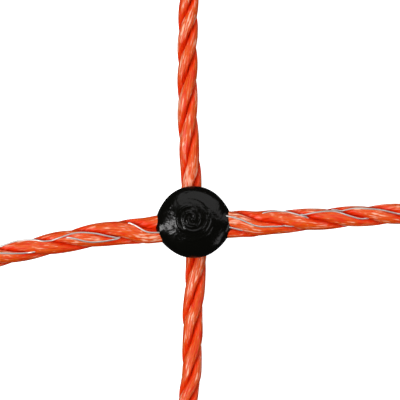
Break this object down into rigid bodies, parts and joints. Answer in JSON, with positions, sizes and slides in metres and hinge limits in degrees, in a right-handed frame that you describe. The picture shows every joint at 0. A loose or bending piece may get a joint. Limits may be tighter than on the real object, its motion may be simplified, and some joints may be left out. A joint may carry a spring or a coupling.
{
  "type": "sheep netting",
  "caption": "Whole mesh of orange electric sheep netting: twisted twines with steel conductors, crossing in black moulded knots, with a half mesh beyond each knot.",
  "frame": {"origin": "middle of the piece, on the ground under it", "axes": "+X along the net's length, +Y up the net's height when it is hung, +Z off the ground, towards the side with the horizontal twines"},
  "size_m": [0.3, 0.3, 0.0098],
  "materials": {
    "orange_yarn": "glossy polyethylene filaments, twisted",
    "stainless_steel": "bright drawn wire",
    "black_plastic": "glossy, as moulded"
  },
  "bodies": {
    "root": {"horizontal_twine_1": "orange_yarn", "horizontal_twine_2": "orange_yarn", "vertical_twine_1": "orange_yarn", "vertical_twine_2": "orange_yarn", "conductor_wire_1_1": "stainless_steel", "conductor_wire_1_2": "stainless_steel", "conductor_wire_1_3": "stainless_steel", "conductor_wire_2_1": "stainless_steel", "conductor_wire_2_2": "stainless_steel", "conductor_wire_2_3": "stainless_steel", "knot_1_1": "black_plastic", "knot_1_2": "black_plastic", "knot_2_1": "black_plastic", "knot_2_2": "black_plastic"}
  },
  "joints": []
}
